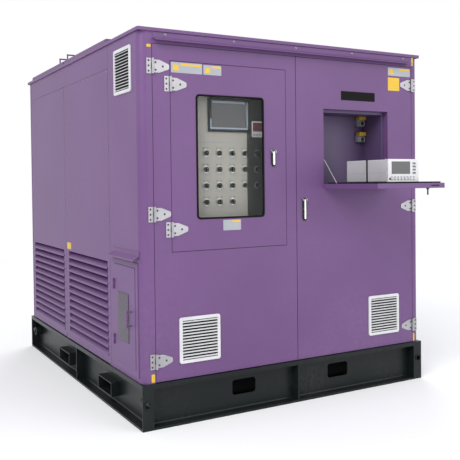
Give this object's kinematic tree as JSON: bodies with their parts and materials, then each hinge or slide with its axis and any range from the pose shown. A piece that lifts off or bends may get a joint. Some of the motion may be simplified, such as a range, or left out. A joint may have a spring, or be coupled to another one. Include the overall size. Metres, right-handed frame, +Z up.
{
  "type": "generator load bank",
  "caption": "Purple sheet-metal load bank on a forklift skid, with double doors, a window over the controls, a fold-down instrument shelf, louvred sides and roof lids.",
  "frame": {"origin": "middle of the skid footprint, on the ground", "axes": "+X to the right seen from the doors, +Y from the doors to the back, +Z up"},
  "size_m": [2.05, 2.8643, 2.234],
  "materials": {
    "skid_paint": "satin green-black paint",
    "purple_paint": "semi-gloss powder coat",
    "galvanised_sheet": "galvanised",
    "stainless": "stainless, lightly polished",
    "bolt_steel": "zinc plated",
    "white_plastic": "white moulded",
    "pane_glass": "clear safety glass",
    "clear_plastic": "smoked clear plastic",
    "black_rubber": "black rubber",
    "panel_paint": "beige paint",
    "plate_black": "black",
    "knob_plastic": "dark moulded",
    "instrument_plastic": "light grey moulded",
    "socket_plastic": "grey moulded",
    "terminal_copper": "bare copper on an insulating board",
    "motor_iron": "painted casting",
    "fan_plastic": "glass-filled nylon",
    "resistor_steel": "heat-tinted stainless"
  },
  "bodies": {
    "housing": {"skid_left_beam": "skid_paint", "skid_right_beam": "skid_paint", "skid_end_beams": "skid_paint", "skid_cross_members": "skid_paint", "fork_pockets": "skid_paint", "lift_pipes": "skid_paint", "floor_plate": "skid_paint", "corner_posts": "purple_paint", "door_frame": "purple_paint", "drip_gutter": "purple_paint", "roof_plate": "purple_paint", "wall_panels": "purple_paint", "left_louvre_panels": "purple_paint", "right_louvre_panels": "purple_paint", "connection_frame": "purple_paint", "inner_frame": "galvanised_sheet", "bulkhead": "galvanised_sheet", "fan_deck": "galvanised_sheet", "door_hinge_leaves": "stainless", "panel_bolts": "bolt_steel", "side_vent_grille": "white_plastic", "control_panel": "panel_paint", "control_cabinet": "panel_paint", "knob_plates": "plate_black", "panel_instruments": "plate_black", "selector_knobs": "knob_plastic", "connection_terminals": "terminal_copper", "fan_motors": "motor_iron", "resistor_frames": "resistor_steel", "resistor_elements": "resistor_steel"},
    "left_door_body": {"left_door": "purple_paint", "left_door_grille": "white_plastic", "left_door_hinges": "stainless"},
    "window_door_body": {"window_door": "purple_paint", "window_door_hardware": "stainless", "window_pane": "pane_glass", "window_gasket": "black_rubber"},
    "window_handle_body": {"window_handle": "stainless"},
    "right_door_body": {"right_door": "purple_paint", "right_door_grille": "white_plastic", "right_door_hardware": "stainless", "instrument_pocket": "purple_paint", "outlet_sockets": "socket_plastic"},
    "right_handle_body": {"right_handle": "stainless"},
    "shelf_body": {"shelf_flap": "purple_paint", "shelf_mat": "black_rubber", "shelf_latch": "plate_black", "power_analyser": "instrument_plastic"},
    "stay_body": {"shelf_stays": "stainless"},
    "front_lid_body": {"front_lid": "purple_paint"},
    "rear_lid_body": {"rear_lid": "purple_paint"},
    "connection_door_body": {"connection_door": "purple_paint", "connection_window": "clear_plastic"},
    "fan_1_body": {"fan_rotor_1": "fan_plastic"},
    "fan_2_body": {"fan_rotor_2": "fan_plastic"},
    "knob_1_body": {"selector_knob_1": "knob_plastic"},
    "knob_2_body": {"selector_knob_2": "knob_plastic"},
    "knob_3_body": {"selector_knob_3": "knob_plastic"},
    "knob_4_body": {"selector_knob_4": "knob_plastic"},
    "knob_5_body": {"selector_knob_5": "knob_plastic"}
  },
  "joints": [
    {"name": "left_door_hinge", "type": "hinge", "parent": "housing", "child": "left_door_body", "pos_m": [-0.921, -1.188, 1.163], "axis": [0, 0, -1], "range_deg": [0, 110]},
    {"name": "window_door_hinge", "type": "hinge", "parent": "left_door_body", "child": "window_door_body", "pos_m": [-0.818, -1.188, 1.473], "axis": [0, 0, -1], "range_deg": [0, 110]},
    {"name": "window_handle_lift", "type": "hinge", "parent": "window_door_body", "child": "window_handle_body", "pos_m": [-0.157, -1.189, 1.5075], "axis": [-1, 0, 0], "range_deg": [0, 60]},
    {"name": "right_door_hinge", "type": "hinge", "parent": "housing", "child": "right_door_body", "pos_m": [0.938, -1.188, 1.163], "axis": [0, 0, 1], "range_deg": [0, 110]},
    {"name": "right_handle_lift", "type": "hinge", "parent": "right_door_body", "child": "right_handle_body", "pos_m": [0.064, -1.189, 1.221], "axis": [-1, 0, 0], "range_deg": [0, 60]},
    {"name": "shelf_hinge", "type": "hinge", "parent": "right_door_body", "child": "shelf_body", "pos_m": [0.4735, -1.17955, 1.28575], "axis": [-1, 0, 0], "range_deg": [0, 90]},
    {"name": "stay_pivot", "type": "hinge", "parent": "shelf_body", "child": "stay_body", "pos_m": [0.2225, -1.294, 1.3206], "axis": [-1, 0, 0], "range_deg": [-130.2, 0]},
    {"name": "front_lid_hinge", "type": "hinge", "parent": "housing", "child": "front_lid_body", "pos_m": [0, -0.643, 2.172], "axis": [1, 0, 0], "range_deg": [0, 100]},
    {"name": "rear_lid_hinge", "type": "hinge", "parent": "housing", "child": "rear_lid_body", "pos_m": [0, 1.138, 2.172], "axis": [-1, 0, 0], "range_deg": [0, 100]},
    {"name": "connection_door_hinge", "type": "hinge", "parent": "housing", "child": "connection_door_body", "pos_m": [-1.014, -0.781, 0.591], "axis": [0, 0, -1], "range_deg": [0, 110]},
    {"name": "fan_1_spin", "type": "hinge", "parent": "housing", "child": "fan_1_body", "pos_m": [0, -0.23, 0.95], "axis": [0, 0, 1], "continuous": true},
    {"name": "fan_2_spin", "type": "hinge", "parent": "housing", "child": "fan_2_body", "pos_m": [0, 0.65, 0.95], "axis": [0, 0, 1], "continuous": true},
    {"name": "knob_1_turn", "type": "hinge", "parent": "housing", "child": "knob_1_body", "pos_m": [-0.558, -1.1, 1.501], "axis": [0, 1, 0], "range_deg": [-45, 45]},
    {"name": "knob_2_turn", "type": "hinge", "parent": "housing", "child": "knob_2_body", "pos_m": [-0.472, -1.1, 1.501], "axis": [0, 1, 0], "range_deg": [-45, 45]},
    {"name": "knob_3_turn", "type": "hinge", "parent": "housing", "child": "knob_3_body", "pos_m": [-0.386, -1.1, 1.501], "axis": [0, 1, 0], "range_deg": [-45, 45]},
    {"name": "knob_4_turn", "type": "hinge", "parent": "housing", "child": "knob_4_body", "pos_m": [-0.3, -1.1, 1.501], "axis": [0, 1, 0], "range_deg": [-45, 45]},
    {"name": "knob_5_turn", "type": "hinge", "parent": "housing", "child": "knob_5_body", "pos_m": [-0.214, -1.1, 1.501], "axis": [0, 1, 0], "range_deg": [-45, 45]}
  ],
  "couplings": [
    {"joint": "stay_pivot", "follows": "shelf_hinge", "ratio": -1.4467}
  ]
}
